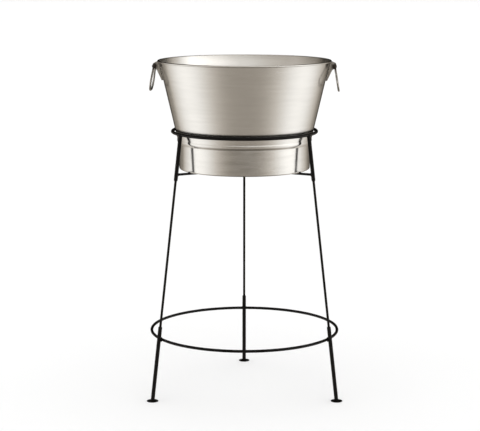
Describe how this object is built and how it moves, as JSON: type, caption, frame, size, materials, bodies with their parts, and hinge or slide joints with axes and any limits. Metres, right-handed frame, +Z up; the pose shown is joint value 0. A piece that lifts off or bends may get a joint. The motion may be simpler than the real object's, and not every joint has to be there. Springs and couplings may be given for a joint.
{
  "type": "champagne bucket stand",
  "caption": "Tall three-legged rod stand whose hoop and pegs hold a flared stainless bucket with a drop handle on each side.",
  "frame": {"origin": "middle of the bounding box in plan, at floor level; the bucket's axis is 19 mm towards -Y of it", "axes": "+Z up; -Y is the front, between the two front legs; +X is the right seen from the front"},
  "size_m": [0.4758, 0.507, 0.82],
  "materials": {
    "black_coat": "near-black satin powder coat",
    "brushed_steel": "stainless sheet with a fine grain running round the bucket",
    "handle_steel": "smooth stainless, slightly darker than the sheet"
  },
  "bodies": {
    "stand": {"upper_ring": "black_coat", "lower_ring": "black_coat", "upper_leg_tube_left": "black_coat", "upper_leg_tube_right": "black_coat", "upper_leg_tube_back": "black_coat", "leg_rod_left": "black_coat", "leg_rod_right": "black_coat", "leg_rod_back": "black_coat", "lower_leg_tube_left": "black_coat", "lower_leg_tube_right": "black_coat", "lower_leg_tube_back": "black_coat", "foot_left": "black_coat", "foot_right": "black_coat", "foot_back": "black_coat", "support_peg_left": "black_coat", "support_peg_right": "black_coat", "support_peg_back": "black_coat"},
    "tub": {"tub_wall": "brushed_steel", "tub_base_band": "brushed_steel", "tub_floor": "brushed_steel", "handle_bracket_left": "handle_steel", "handle_bracket_right": "handle_steel", "handle_pin_left": "handle_steel", "handle_pin_right": "handle_steel", "bracket_rivet_left_upper": "handle_steel", "bracket_rivet_left_lower": "handle_steel", "bracket_rivet_right_upper": "handle_steel", "bracket_rivet_right_lower": "handle_steel"},
    "handle_left": {"handle_left": "handle_steel"},
    "handle_right": {"handle_right": "handle_steel"}
  },
  "joints": [
    {"name": "tub_lift", "type": "slide", "parent": "stand", "child": "tub", "axis": [0, 0, 1], "range_m": [0, 0.15]},
    {"name": "handle_left_swing", "type": "hinge", "parent": "tub", "child": "handle_left", "pos_m": [-0.2191, -0.00755, 0.8054], "axis": [0.0523, 0.9986, 0], "range_deg": [0, 188]},
    {"name": "handle_right_swing", "type": "hinge", "parent": "tub", "child": "handle_right", "pos_m": [0.2191, -0.03051, 0.8054], "axis": [-0.0523, -0.9986, 0], "range_deg": [0, 188]}
  ]
}
